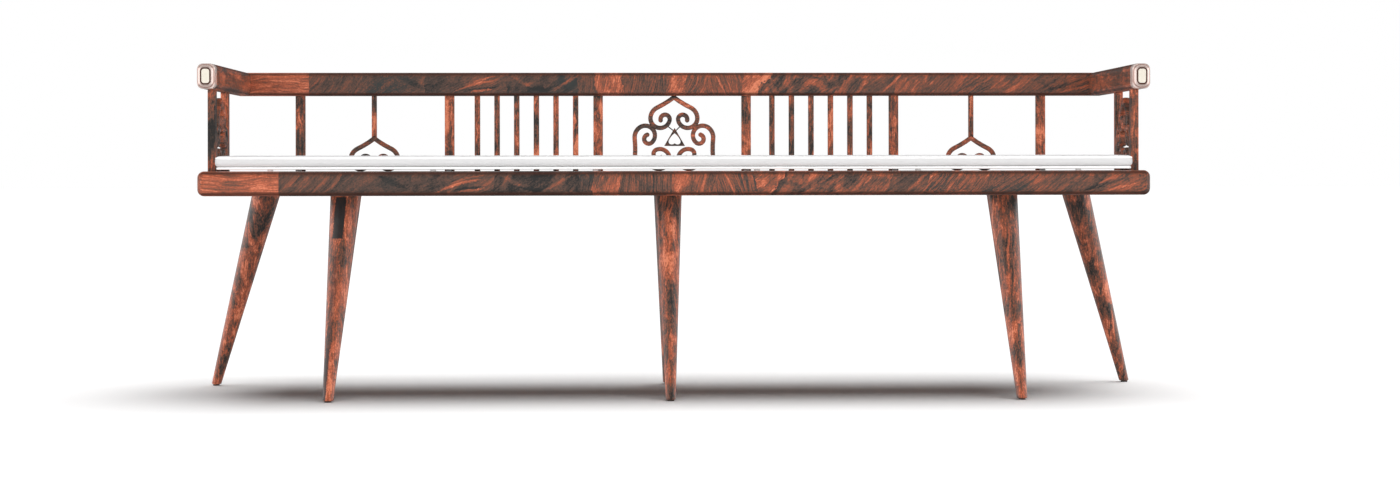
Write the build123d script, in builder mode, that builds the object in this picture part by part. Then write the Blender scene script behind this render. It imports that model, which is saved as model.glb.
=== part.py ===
"""A persian takht: a long low bench with a round-edged deck on six turned legs,
a U-shaped gallery of arms and back rail, spindles, scrolled fretwork and a thin mattress.

Millimetres. The origin is on the floor under the middle of the deck, +X runs along
the bench, -Y is its open front and +Z is up.
"""
import os
from math import cos, radians, tan

from build123d import *

# ---------------------------------------------------------------- driving sizes
# deck
deck_length = 1997.0
deck_depth = 516.0
deck_thickness = 52.0
deck_edge_radius = 14.0
deck_height = 486.0  # floor to the top of the deck
rail_width = 70.0  # front and rear rails, seen from above
end_width = 140.0  # end boards, seen from above
panel_thickness = 12.0
rebate_width = 15.0
panel_gap = 0.3
bearer_width = 90.0
end_tenon_width = 100.0
bearer_tenon_width = 60.0
frame_tenon_thickness = 16.0
end_tenon_length = 20.0
bearer_tenon_length = 12.0

# gallery
gallery_clear_height = 172.0  # deck top to the underside of arms and back rail
gallery_width = 38.0
gallery_thickness = 53.0
gallery_edge_radius = 12.0
cap_length = 30.0
cap_wall = 3.0
cap_socket_depth = 18.0
cap_fit = 0.2
spline_length = 24.0
spline_width = 18.0
spline_thickness = 8.0

# uprights
post_width = 17.0
post_edge_radius = 1.5
front_post_setback = 75.0  # deck front to the front post's front face
post_spacing = 161.0  # front post to rear post, front face to front face
post_tenon_width = 11.0
post_tenon_length = 18.0
housing_depth = 1.5  # uprights are let into deck and gallery by this much
wide_spindle_width = 21.8
thin_spindle_width = 12.5
stem_width = 11.2
spindle_depth = 10.0
spindle_edge_radius = 1.0
spindle_tenon_width = 7.0
spindle_tenon_length = 15.0
end_spindle_inset = 148.5  # deck end to the middle of the outermost spindle
wide_spindle_count = 6
thin_spindle_pitch = 45.0
thin_spindle_count = 6
thin_group_shifts = (6.0, 2.0)  # left and right group, from the middle of its bay
stem_shifts = (-2.0, 9.0)

# scrolled fretwork: one ogee lobe is a mitred point, a hollow, a shoulder and a scroll;
# its radii and places are hundredths of the clear height that it fills
lobe_start_slope = 37.4  # degrees below level at the point
lobe_arcs = ((130.8, 11.5), (16.05, -60.2), (12.97, -171.9), (6.15, -204.8))  # radius, turn
trefoil_side_point_offset = 52.3
trefoil_side_turn = 122.0
triangle_base_place = 33.1
triangle_top_place = 57.3
triangle_span = 27.9
triangle_shift = 0.9
pin_outer_place = (9.9, 60.8)
pin_inner_place = (1.5, 53.5)
# the opening in the triangle, as shares of its half width and of its height
triangle_opening_top = (0.0, 0.7)
triangle_opening_flank = (0.34, 0.51)
triangle_opening_hip = (0.56, 0.29)
triangle_opening_corner = (0.49, 0.13)
triangle_opening_sole = (0.33, 0.09)
triangle_opening_arch = (0.15, 0.1)
triangle_opening_notch = (0.0, 0.155)

strip_width = 10.5
fret_thickness = 10.0
seat_depth = 0.5  # the lobes are planed flat by this much where they meet a neighbour
rail_seat_drop = 3.2  # underside of the back rail to the top lobe's point, on its centre line
triangle_thickness = 6.0
pin_diameter = 2.4
side_fret_thickness = 17.0
side_fret_headroom = 14.5  # side fret's point to the underside of the arm
dowel_diameter = 5.0
dowel_length = 18.0
dowel_depth = 7.0  # how deep a dowel sits in a lobe

# legs: top diameter, foot diameter
leg_tenon_diameter = 30.0
leg_tenon_length = 32.0
leg_tenon_clearance = 0.15
foot_edge_radius = 2.5
glide_diameter = 15.0
glide_height = 3.0
front_leg_diameters = (65.5, 22.3)
middle_leg_diameters = (57.3, 21.0)
rear_leg_diameters = (60.8, 20.8)
foot_inset = 50.5  # deck front or rear face to a foot's centre
front_leg_splay = 90.0  # how far a front or middle foot stands outside its top, in Y
rear_leg_splay = 60.0
front_leg_inset = 293.5  # deck end to a leg's top
front_foot_spread = 28.0  # how far a foot stands outside its leg's top, in X
middle_leg_top_offset = -15.0
middle_foot_spread = 3.0
rear_leg_inset = 83.5
rear_foot_spread = 122.0

# mattress
mattress_front_inset = 14.0
mattress_rear_gap = 3.0
mattress_side_gap = 4.5
mattress_top_height = 31.5
mattress_edge_radius = 11.0
soft_gap = 0.3
pad_diameter = 12.0
pad_height = 3.0
pad_inset = 18.0  # mattress edge to a pad's centre; there is a pad in line with each wide spindle

# screws that hold the panel to its bearers
screw_head_diameter = 9.0
screw_head_height = 3.0
screw_diameter = 4.5
screw_length = 38.0
screw_tip = 1.2
screw_hole_clearance = 0.5
screw_recess = 7.0  # underside of a bearer to a screw's head
screw_line_inset = 25.0  # rail to the outermost screws

# ---------------------------------------------------------------- derived places
deck_bottom = deck_height - deck_thickness
deck_front = -deck_depth / 2
deck_rear = deck_depth / 2
deck_end = deck_length / 2
deck_middle_height = deck_height - deck_thickness / 2
inner_front = deck_front + rail_width
inner_rear = deck_rear - rail_width
inner_end = deck_end - end_width
panel_bottom = deck_height - panel_thickness
bearer_middle_height = (deck_bottom + panel_bottom) / 2
gallery_bottom = deck_height + gallery_clear_height
gallery_middle_height = gallery_bottom + gallery_thickness / 2
arm_offset = deck_end - gallery_width / 2
arm_front = deck_front + cap_length
back_line = deck_rear - gallery_width / 2
post_inner_offset = arm_offset - post_width / 2
post_lines = (
    deck_front + front_post_setback + post_width / 2,
    deck_front + front_post_setback + post_spacing + post_width / 2,
)
front_leg_offset = deck_end - front_leg_inset
rear_leg_offset = deck_end - rear_leg_inset
bay = 2 * (deck_end - end_spindle_inset) / (wide_spindle_count - 1)
thin_group_centres = (thin_group_shifts[0] - bay, thin_group_shifts[1] + bay)
stem_centres = (stem_shifts[0] - 2 * bay, stem_shifts[1] + 2 * bay)
thin_spindle_run = thin_spindle_pitch * (thin_spindle_count - 1)
screw_lines = (inner_front + screw_line_inset, 0, inner_rear - screw_line_inset)
bearer_places = (
    ("left", -front_leg_offset),
    ("middle", middle_leg_top_offset),
    ("right", front_leg_offset),
)
mattress_bottom = deck_height + pad_height + soft_gap
mattress_top = deck_height + mattress_top_height
mattress_end = post_inner_offset - mattress_side_gap
mattress_front = deck_front + mattress_front_inset
mattress_rear = back_line - spindle_depth / 2 - mattress_rear_gap
fret_unit = gallery_clear_height / 100
sides = (("left", -1), ("right", 1))
centred = (Align.CENTER, Align.CENTER, Align.CENTER)
standing = (Align.CENTER, Align.CENTER, Align.MIN)

os.makedirs("parts", exist_ok=True)


def save(piece, name):
    """Label a finished sub-part and write its STEP file."""
    piece.label = name
    export_step(piece, f"parts/{name}.step")


def box_between(low, high, mode=Mode.ADD):
    """A box given by two opposite corners, inside the active part."""
    centre = [(a + b) / 2 for a, b in zip(low, high)]
    size = [b - a for a, b in zip(low, high)]
    with Locations(tuple(centre)):
        Box(*size, align=centred, mode=mode)


def rod(start, end, diameter, mode=Mode.ADD):
    """A round bar from one point to another, added to the active part or drilled from it."""
    start = Vector(start)
    end = Vector(end)
    with BuildSketch(Plane(origin=start, z_dir=end - start)) as section:
        Circle(diameter / 2)
    extrude(section.sketch, amount=(end - start).length, mode=mode)


def upright(x, y, width, depth, edge_radius, tenon_width, tenon_length, low, high, low_tenon=True):
    """A square stick let into what it stands on and what it carries, with a tenon at each end."""
    box_between(
        (x - width / 2, y - depth / 2, low - housing_depth),
        (x + width / 2, y + depth / 2, high + housing_depth),
    )
    fillet(faces().filter_by(Axis.Z, reverse=True).edges().filter_by(Axis.Z), edge_radius)
    half = tenon_width / 2
    tenon_bottom = low - tenon_length if low_tenon else low
    box_between((x - half, y - half, tenon_bottom), (x + half, y + half, high + tenon_length))


# ---------------------------------------------------------------- scrolled fretwork
def lobe_half(point, turn, side):
    """Centre line of half an ogee lobe; side is 1 for the half to the point's right."""
    slope = radians(lobe_start_slope)
    heading = Vector(side * cos(slope), -cos(slope) * tan(slope), 0).rotate(Axis.Z, turn)
    start = Vector(point[0], point[1], 0)
    mitre = strip_width / 2 * tan(slope)
    run = Line(start - heading * mitre, start)
    for radius, angle in lobe_arcs:
        run = JernArc(
            start=run @ 1, tangent=run % 1, radius=radius * fret_unit, arc_size=side * angle
        )
    return run @ 1


def lobe_sketch(point, turn):
    """Both halves of a lobe, widened to the strip, with round ends to the scrolls."""
    for side in (-1, 1):
        with BuildLine() as centre_line:
            eye = lobe_half(point, turn, side)
        trace(centre_line.line, line_width=strip_width)
        with Locations((eye.X, eye.Y)):
            Circle(strip_width / 2)


def lobe_drop(turn):
    """How far a lobe reaches below its point."""
    with BuildSketch() as outline:
        lobe_sketch((0, 0), turn)
    return -outline.sketch.bounding_box().min.Y


def trim_to(width, height):
    """Keep what lies between the deck and a height above it, in the active sketch."""
    with Locations((0, height / 2)):
        Rectangle(width, height, mode=Mode.INTERSECT)


def drive_pins(mode):
    """The two pins between the top lobe's scrolls and the triangular plate."""
    for side in (-1, 1):
        outer = (
            trefoil_centre + side * pin_outer_place[0] * fret_unit,
            back_line,
            deck_height + pin_outer_place[1] * fret_unit,
        )
        inner = (
            triangle_centre + side * pin_inner_place[0] * fret_unit,
            back_line,
            deck_height + pin_inner_place[1] * fret_unit,
        )
        rod(outer, inner, pin_diameter, mode)


def dowel_into(x, lobe_side_height, up):
    """Drill a dowel's hole in the active lobe and note the dowel; up is 1 where it leaves upwards."""
    start = (x, back_line, lobe_side_height - up * dowel_depth)
    end = (x, back_line, lobe_side_height + up * (dowel_length - dowel_depth))
    rod(start, end, dowel_diameter, Mode.SUBTRACT)
    dowels.append((start, end))


def dowel_seats():
    """A dowel at the middle of each flat place where the active lobe stands on the deck."""
    for seat in faces().filter_by(Axis.Z).group_by(Axis.Z)[0]:
        dowel_into(seat.center().X, deck_height, -1)


fret_plane = Plane(origin=(0, back_line, deck_height), x_dir=(1, 0, 0), z_dir=(0, -1, 0))
trefoil_centre = (thin_group_centres[0] + thin_group_centres[1]) / 2
triangle_centre = trefoil_centre + triangle_shift * fret_unit
stem_lobe_point = lobe_drop(0) - seat_depth
side_lobe_point = lobe_drop(trefoil_side_turn) - seat_depth
top_lobe_point = gallery_clear_height - rail_seat_drop
lobes = {}
stems = {}
dowels = []

for (side_name, _), centre in zip(sides, stem_centres):
    with BuildPart() as lobe:
        with BuildSketch(fret_plane):
            lobe_sketch((centre, stem_lobe_point), 0)
            trim_to(deck_length, gallery_clear_height)
        extrude(amount=fret_thickness / 2, both=True)
        dowel_seats()
        dowel_into(centre, deck_height + stem_lobe_point, 1)
    save(lobe.part, f"{side_name}_lobe")
    lobes[f"{side_name}_lobe"] = lobe.part

    with BuildPart() as stem:
        upright(
            centre,
            back_line,
            stem_width,
            spindle_depth,
            spindle_edge_radius,
            spindle_tenon_width,
            spindle_tenon_length,
            deck_height + stem_lobe_point + housing_depth,
            gallery_bottom,
            low_tenon=False,
        )
        add(lobe.part, mode=Mode.SUBTRACT)
        rod(*dowels[-1], dowel_diameter, Mode.SUBTRACT)
    save(stem.part, f"{side_name}_lobe_stem")
    stems[side_name] = stem.part

with BuildPart() as trefoil_top:
    with BuildSketch(fret_plane):
        lobe_sketch((trefoil_centre, top_lobe_point), 0)
        trim_to(deck_length, gallery_clear_height)
    extrude(amount=fret_thickness / 2, both=True)
    dowel_into(trefoil_centre, gallery_bottom, 1)
    drive_pins(Mode.SUBTRACT)
save(trefoil_top.part, "trefoil_top_lobe")

for side_name, side in sides:
    side_centre = trefoil_centre + side * trefoil_side_point_offset * fret_unit
    with BuildPart() as trefoil_side:
        with BuildSketch(fret_plane):
            lobe_sketch((side_centre, side_lobe_point), -side * trefoil_side_turn)
            trim_to(deck_length, gallery_clear_height)
        extrude(amount=fret_thickness / 2, both=True)
        add(trefoil_top.part, mode=Mode.SUBTRACT)
        dowel_seats()
    save(trefoil_side.part, f"trefoil_{side_name}_lobe")
    lobes[f"trefoil_{side_name}_lobe"] = trefoil_side.part


# a small triangular plate hangs on two pins inside the trefoil
def plate_point(place, side=1):
    """A point of the plate, from its share of the half width and of the height."""
    base = triangle_base_place * fret_unit
    height = (triangle_top_place - triangle_base_place) * fret_unit
    return (triangle_centre + side * place[0] * triangle_span * fret_unit / 2, base + place[1] * height)


with BuildPart() as trefoil_triangle:
    with BuildSketch(fret_plane):
        with BuildLine():
            Polyline(plate_point((-1, 0)), plate_point((1, 0)), plate_point((0, 1)), close=True)
        make_face()
        with BuildLine():
            for side in (-1, 1):
                ThreePointArc(
                    plate_point(triangle_opening_top, side),
                    plate_point(triangle_opening_flank, side),
                    plate_point(triangle_opening_hip, side),
                )
                ThreePointArc(
                    plate_point(triangle_opening_hip, side),
                    plate_point(triangle_opening_corner, side),
                    plate_point(triangle_opening_sole, side),
                )
                ThreePointArc(
                    plate_point(triangle_opening_sole, side),
                    plate_point(triangle_opening_arch, side),
                    plate_point(triangle_opening_notch, side),
                )
        make_face(mode=Mode.SUBTRACT)
    extrude(amount=triangle_thickness / 2, both=True)
    drive_pins(Mode.SUBTRACT)
save(trefoil_triangle.part, "trefoil_triangle")

with BuildPart() as triangle_pins:
    drive_pins(Mode.ADD)
save(triangle_pins.part, "triangle_pins")

with BuildPart() as fret_dowels:
    for start, end in dowels:
        rod(start, end, dowel_diameter)
save(fret_dowels.part, "fret_dowels")

# ---------------------------------------------------------------- spindles and posts
spindles = []
for i in range(wide_spindle_count):
    with BuildPart() as spindle:
        upright(
            bay * (i - (wide_spindle_count - 1) / 2),
            back_line,
            wide_spindle_width,
            spindle_depth,
            spindle_edge_radius,
            spindle_tenon_width,
            spindle_tenon_length,
            deck_height,
            gallery_bottom,
        )
    save(spindle.part, f"wide_spindle_{i + 1}")
    spindles.append(spindle.part)

for (side_name, _), centre in zip(sides, thin_group_centres):
    for i in range(thin_spindle_count):
        with BuildPart() as spindle:
            upright(
                centre - thin_spindle_run / 2 + thin_spindle_pitch * i,
                back_line,
                thin_spindle_width,
                spindle_depth,
                spindle_edge_radius,
                spindle_tenon_width,
                spindle_tenon_length,
                deck_height,
                gallery_bottom,
            )
        save(spindle.part, f"thin_spindle_{side_name}_{i + 1}")
        spindles.append(spindle.part)

posts = {"left": [], "right": []}
for side_name, side in sides:
    for place, y in zip(("front", "rear"), post_lines):
        with BuildPart() as post:
            upright(
                side * arm_offset,
                y,
                post_width,
                post_width,
                post_edge_radius,
                post_tenon_width,
                post_tenon_length,
                deck_height,
                gallery_bottom,
            )
        save(post.part, f"{side_name}_{place}_post")
        posts[side_name].append(post.part)

# ---------------------------------------------------------------- narrow trefoil between the posts
post_gap = post_spacing - post_width
side_fret_height = gallery_clear_height - side_fret_headroom
for side_name, side in sides:
    post_middle = sum(post_lines) / 2
    side_plane = Plane(
        origin=(side * arm_offset, post_middle, deck_height), x_dir=(0, 1, 0), z_dir=(1, 0, 0)
    )
    with BuildPart() as side_fret:
        with BuildSketch(side_plane) as outline:
            lobe_sketch((0, top_lobe_point), 0)
            for half in (-1, 1):
                offset_across = half * trefoil_side_point_offset * fret_unit
                lobe_sketch((offset_across, side_lobe_point), -half * trefoil_side_turn)
            drawn = outline.sketch_local.bounding_box()
            across = (post_gap + 2 * seat_depth) / drawn.size.X
            upwards = side_fret_height / drawn.max.Y
            scale(by=(across, upwards, 1))
            trim_to(post_gap, gallery_clear_height)
        extrude(amount=side_fret_thickness / 2, both=True)
    save(side_fret.part, f"{side_name}_side_fret")

# ---------------------------------------------------------------- legs
legs = {}
glide_places = []


def make_leg(name, top, foot, diameters):
    """A round tapered leg, its top cut level under the deck, with a tenon up into the frame."""
    top = Vector(*top, deck_bottom)
    foot = Vector(*foot, glide_height)
    run = (foot - top).length
    slope = (foot - top) / run
    taper = (diameters[0] - diameters[1]) / run
    spare = diameters[0] / 2
    with BuildPart() as leg:
        with BuildSketch(Plane(origin=top - slope * spare, z_dir=slope)):
            Circle((diameters[0] + taper * spare) / 2)
        with BuildSketch(Plane(origin=foot + slope * spare, z_dir=slope)):
            Circle((diameters[1] - taper * spare) / 2)
        loft()
        split(bisect_by=Plane.XY.offset(deck_bottom), keep=Keep.BOTTOM)
        split(bisect_by=Plane.XY.offset(glide_height), keep=Keep.TOP)
        fillet(edges().sort_by(Axis.Z)[0], foot_edge_radius)
        with Locations((top.X, top.Y, deck_bottom)):
            Cylinder(leg_tenon_diameter / 2, leg_tenon_length, align=standing)
    save(leg.part, name)
    legs[name] = leg.part
    glide_places.append((foot.X, foot.Y))


front_foot_line = deck_front + foot_inset
rear_foot_line = deck_rear - foot_inset
front_top_line = front_foot_line + front_leg_splay
rear_top_line = rear_foot_line - rear_leg_splay
for side_name, side in sides:
    make_leg(
        f"leg_front_{side_name}",
        (side * front_leg_offset, front_top_line),
        (side * (front_leg_offset + front_foot_spread), front_foot_line),
        front_leg_diameters,
    )
    make_leg(
        f"leg_rear_{side_name}",
        (side * rear_leg_offset, rear_top_line),
        (side * (rear_leg_offset + rear_foot_spread), rear_foot_line),
        rear_leg_diameters,
    )
for place, top_line, foot_line in (
    ("front", front_top_line, front_foot_line),
    ("rear", -front_top_line, rear_foot_line),
):
    make_leg(
        f"leg_{place}_middle",
        (middle_leg_top_offset, top_line),
        (middle_leg_top_offset + middle_foot_spread, foot_line),
        middle_leg_diameters,
    )

with BuildPart() as foot_glides:
    with Locations([(x, y, 0) for x, y in glide_places]):
        Cylinder(glide_diameter / 2, glide_height, align=standing)
save(foot_glides.part, "foot_glides")


def bore_for_legs():
    """Holes for the leg tenons, a little wider and deeper, in the active part."""
    hole = leg_tenon_diameter + 2 * leg_tenon_clearance
    depth = leg_tenon_length + leg_tenon_clearance
    for leg in legs.values():
        tenon = leg.faces().sort_by(Axis.Z)[-1].center()
        rod((tenon.X, tenon.Y, deck_bottom), (tenon.X, tenon.Y, deck_bottom + depth), hole, Mode.SUBTRACT)


# ---------------------------------------------------------------- deck
with BuildPart() as panel_screws:
    head_top = deck_bottom + screw_recess + screw_head_height
    for _, x in bearer_places:
        for y in screw_lines:
            rod((x, y, deck_bottom + screw_recess), (x, y, head_top), screw_head_diameter)
            rod((x, y, head_top), (x, y, head_top + screw_length), screw_diameter)
    tips = edges().filter_by(GeomType.CIRCLE).group_by(Axis.Z)[-1]
    chamfer(tips, screw_tip)
save(panel_screws.part, "panel_screws")

frame_parts = []
for side_name, x in bearer_places:
    with BuildPart() as bearer:
        box_between(
            (x - bearer_width / 2, inner_front, deck_bottom),
            (x + bearer_width / 2, inner_rear, panel_bottom),
        )
        box_between(
            (
                x - bearer_tenon_width / 2,
                inner_front - bearer_tenon_length,
                bearer_middle_height - frame_tenon_thickness / 2,
            ),
            (
                x + bearer_tenon_width / 2,
                inner_rear + bearer_tenon_length,
                bearer_middle_height + frame_tenon_thickness / 2,
            ),
        )
        bore_for_legs()
        for y in screw_lines:
            recess_width = screw_head_diameter + screw_hole_clearance
            rod((x, y, deck_bottom), (x, y, head_top), recess_width, Mode.SUBTRACT)
            hole_width = screw_diameter + screw_hole_clearance
            rod((x, y, head_top), (x, y, panel_bottom), hole_width, Mode.SUBTRACT)
    save(bearer.part, f"{side_name}_bearer")
    frame_parts.append(bearer.part)


def deck_blank():
    """The whole deck as one round-edged board, inside the active part."""
    with Locations((0, 0, deck_middle_height)):
        board = Box(deck_length, deck_depth, deck_thickness, align=centred)
    fillet(board.edges(), deck_edge_radius)


def sink_panel():
    """The shallow pocket that the deck panel lies in, cut from the active part."""
    box_between(
        (-inner_end - rebate_width, inner_front - rebate_width, panel_bottom),
        (inner_end + rebate_width, inner_rear + rebate_width, deck_height),
        Mode.SUBTRACT,
    )


for side_name, side in sides:
    with BuildPart() as end_board:
        deck_blank()
        inside = side * (inner_end + deck_end) / 2
        with Locations((inside, 0, deck_middle_height)):
            Box(end_width, inner_rear - inner_front, deck_thickness, align=centred, mode=Mode.INTERSECT)
        with Locations((inside, 0, deck_middle_height)):
            Box(
                end_tenon_width,
                inner_rear - inner_front + 2 * end_tenon_length,
                frame_tenon_thickness,
                align=centred,
            )
        sink_panel()
        bore_for_legs()
        for post in posts[side_name]:
            add(post, mode=Mode.SUBTRACT)
    save(end_board.part, f"deck_{side_name}_end")
    frame_parts.append(end_board.part)

for place, side in (("front", -1), ("rear", 1)):
    with BuildPart() as rail:
        deck_blank()
        with Locations((0, side * (deck_rear - rail_width / 2), deck_middle_height)):
            Box(deck_length, rail_width, deck_thickness, align=centred, mode=Mode.INTERSECT)
        sink_panel()
        for piece in frame_parts:
            add(piece, mode=Mode.SUBTRACT)
        if place == "rear":
            for piece in spindles:
                add(piece, mode=Mode.SUBTRACT)
            add(fret_dowels.part, mode=Mode.SUBTRACT)
    save(rail.part, f"deck_{place}_rail")

with BuildPart() as deck_panel:
    panel_reach = rebate_width - panel_gap
    box_between(
        (-inner_end - panel_reach, inner_front - panel_reach, panel_bottom),
        (inner_end + panel_reach, inner_rear + panel_reach, deck_height),
    )
    add(panel_screws.part, mode=Mode.SUBTRACT)
save(deck_panel.part, "deck_panel")

# ---------------------------------------------------------------- arms, back rail and caps
mitres = {}
for side_name, side in sides:
    corner = (side * arm_offset, back_line, gallery_middle_height)
    mitres[side_name] = Plane(origin=corner, x_dir=(side, 1, 0), z_dir=(-side, 1, 0))

with BuildPart() as rail_corner_splines:
    for mitre in mitres.values():
        with BuildSketch(mitre):
            Rectangle(spline_width, spline_thickness)
        extrude(amount=spline_length / 2, both=True)
save(rail_corner_splines.part, "rail_corner_splines")

rail_section = Plane(origin=(0, back_line, gallery_middle_height), x_dir=(0, 1, 0), z_dir=(1, 0, 0))
with BuildPart() as back_rail:
    with BuildSketch(rail_section):
        RectangleRounded(gallery_width, gallery_thickness, gallery_edge_radius)
    extrude(amount=deck_end, both=True)
    for mitre in mitres.values():
        split(bisect_by=mitre, keep=Keep.TOP)
    for piece in [*spindles, *stems.values(), rail_corner_splines.part, fret_dowels.part]:
        add(piece, mode=Mode.SUBTRACT)
save(back_rail.part, "back_rail")

tongue_width = gallery_width - 2 * cap_wall
tongue_thickness = gallery_thickness - 2 * cap_wall
tongue_radius = gallery_edge_radius - cap_wall
for side_name, side in sides:
    arm_section = Plane(
        origin=(side * arm_offset, arm_front, gallery_middle_height), x_dir=(1, 0, 0), z_dir=(0, 1, 0)
    )
    with BuildPart() as arm:
        with BuildSketch(arm_section):
            RectangleRounded(gallery_width, gallery_thickness, gallery_edge_radius)
        extrude(amount=deck_rear - arm_front)
        split(bisect_by=mitres[side_name], keep=Keep.BOTTOM)
        with BuildSketch(arm_section):
            RectangleRounded(tongue_width - 2 * cap_fit, tongue_thickness - 2 * cap_fit, tongue_radius)
        extrude(amount=-cap_socket_depth)
        for piece in [*posts[side_name], rail_corner_splines.part]:
            add(piece, mode=Mode.SUBTRACT)
    save(arm.part, f"{side_name}_arm")

    with BuildPart() as cap:
        with Locations((side * arm_offset, arm_front - cap_length / 2, gallery_middle_height)):
            Box(gallery_width, cap_length, gallery_thickness, align=centred)
        rear_edges = edges().group_by(Axis.Y)[-1]
        fillet(edges() - rear_edges, gallery_edge_radius)
        with BuildSketch(arm_section):
            RectangleRounded(tongue_width, tongue_thickness, tongue_radius)
        extrude(amount=-cap_socket_depth, mode=Mode.SUBTRACT)
    save(cap.part, f"{side_name}_arm_cap")

# ---------------------------------------------------------------- mattress
with BuildPart() as mattress:
    box_between(
        (-mattress_end, mattress_front, mattress_bottom), (mattress_end, mattress_rear, mattress_top)
    )
    fillet(edges(), mattress_edge_radius)
save(mattress.part, "mattress")

with BuildPart() as mattress_pads:
    for y in (mattress_front + pad_inset, mattress_rear - pad_inset):
        with Locations((0, y, deck_height)):
            with GridLocations(bay, 1, wide_spindle_count, 1):
                Cylinder(pad_diameter / 2, pad_height, align=standing)
save(mattress_pads.part, "mattress_pads")
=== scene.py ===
from math import cos, pi, radians, sin, tan

import bmesh
import bpy
from mathutils import Matrix, Vector


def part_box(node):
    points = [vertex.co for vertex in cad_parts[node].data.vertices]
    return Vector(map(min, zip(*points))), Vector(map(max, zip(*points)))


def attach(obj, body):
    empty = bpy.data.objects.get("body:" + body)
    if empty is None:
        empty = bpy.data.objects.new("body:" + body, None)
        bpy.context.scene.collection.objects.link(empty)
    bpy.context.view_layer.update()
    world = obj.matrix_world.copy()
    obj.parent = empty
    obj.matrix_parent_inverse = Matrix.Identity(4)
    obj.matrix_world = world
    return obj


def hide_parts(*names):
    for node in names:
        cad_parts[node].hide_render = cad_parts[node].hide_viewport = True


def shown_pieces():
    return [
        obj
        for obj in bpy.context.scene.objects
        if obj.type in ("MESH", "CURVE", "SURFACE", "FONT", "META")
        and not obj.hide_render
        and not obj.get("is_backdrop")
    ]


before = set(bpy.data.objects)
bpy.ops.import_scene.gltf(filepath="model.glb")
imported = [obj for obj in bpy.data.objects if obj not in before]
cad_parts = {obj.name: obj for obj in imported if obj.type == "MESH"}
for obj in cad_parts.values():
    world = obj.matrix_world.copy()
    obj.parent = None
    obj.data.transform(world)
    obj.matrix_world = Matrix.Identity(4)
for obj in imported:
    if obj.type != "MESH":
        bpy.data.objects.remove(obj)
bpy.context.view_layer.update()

scene = bpy.context.scene

# ---------------------------------------------------------------- sizes and places
millimetre = 0.001
rail_low, rail_high = (Vector(corner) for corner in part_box("back_rail"))
deck_boxes = [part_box(f"deck_{part}") for part in ("front_rail", "rear_rail", "left_end", "right_end")]
deck_low = Vector([min(box[0][axis] for box in deck_boxes) for axis in range(3)])
deck_high = Vector([max(box[1][axis] for box in deck_boxes) for axis in range(3)])
deck_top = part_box("deck_front_rail")[1][2]
gallery_bottom = rail_low.z
back_line = (rail_low.y + rail_high.y) / 2
clear_height = gallery_bottom - deck_top
fret_unit = clear_height / 100
deck_rounding = 14 * millimetre
rail_rounding = 12 * millimetre

# one ogee lobe: radius and turn of each arc, in hundredths of the clear height and degrees
lobe_start_slope = 37.4
lobe_arcs = ((130.8, 11.5), (16.05, -60.2), (12.97, -171.9), (6.15, -204.8))
# how wide the strip is at the end of each arc, as a share of its width at the point
lobe_taper = (1.0, 1.0, 0.95, 1.0)
strip_width = 10.5 * millimetre
strip_thickness = 10 * millimetre
strip_edge = 3.2 * millimetre
degrees_per_step = 9
trefoil_middle = 4 * millimetre
trefoil_side_offset = 52.3 * fret_unit
trefoil_side_turn = 122
rail_seat_drop = 3.2 * millimetre
seat_depth = 0.5 * millimetre
plate_edge = 0.7 * millimetre
weld_gap = 0.01 * millimetre

mattress_low, mattress_high = (Vector(corner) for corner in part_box("mattress"))
pad_lift = 4.4 * millimetre  # from the foot of the lower welt to the pad's underside
pad_inset = 1.5 * millimetre
pad_edge = 9.5 * millimetre
pad_cell = 9 * millimetre
swell_cap = 1.6 * millimetre
swell_frames = 20
lower_welt_radius = 2.6 * millimetre
lower_welt_inset = 7.5 * millimetre
upper_welt_radius = 1.7 * millimetre
upper_welt_inset = 4.4 * millimetre  # from the pad's sides and from its top
welt_corner = 14 * millimetre
welt_corner_steps = 5


# ---------------------------------------------------------------- mesh helpers
def make_piece(name, draft, material):
    """Turns a finished bmesh into a smooth object at the origin that rides on the bench."""
    mesh = bpy.data.meshes.new(name)
    draft.to_mesh(mesh)
    draft.free()
    for polygon in mesh.polygons:
        polygon.use_smooth = True
    mesh.materials.append(material)
    piece = bpy.data.objects.new(name, mesh)
    scene.collection.objects.link(piece)
    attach(piece, "root")
    return piece


def everything(draft):
    """All of a draft mesh's geometry."""
    return list(draft.verts) + list(draft.edges) + list(draft.faces)


def cut(draft, place, normal, clear=False):
    """Cuts a draft mesh along a plane, and with clear drops what lies behind the plane."""
    bmesh.ops.bisect_plane(
        draft, geom=everything(draft), plane_co=place, plane_no=normal, clear_inner=clear
    )


def turn_draft(draft, degrees, axis):
    """Turns a draft mesh about an axis through the origin."""
    matrix = Matrix.Rotation(radians(degrees), 3, axis)
    bmesh.ops.rotate(draft, verts=draft.verts, cent=(0, 0, 0), matrix=matrix)


def weld(draft, gap):
    """Joins the vertices that lie within a gap and turns all faces outward."""
    bmesh.ops.remove_doubles(draft, verts=draft.verts, dist=gap)
    bmesh.ops.recalc_face_normals(draft, faces=draft.faces)


def round_geometry(draft, geometry, width, segments, affect="EDGES"):
    """Rounds edges or corners of a draft mesh."""
    bmesh.ops.bevel(
        draft,
        geom=geometry,
        offset=width,
        offset_type="OFFSET",
        affect=affect,
        segments=segments,
        profile=0.5,
        material=-1,
    )


def push(draft, ring, step):
    """Extrudes an outline by a step and returns the new outline."""
    edges = [item for item in ring if isinstance(item, bmesh.types.BMEdge)]
    grown = bmesh.ops.extrude_edge_only(draft, edges=edges)["geom"]
    verts = [item for item in grown if isinstance(item, bmesh.types.BMVert)]
    bmesh.ops.translate(draft, verts=verts, vec=step)
    return verts + [
        item
        for item in grown
        if isinstance(item, bmesh.types.BMEdge) and all(vert in verts for vert in item.verts)
    ]


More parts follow.
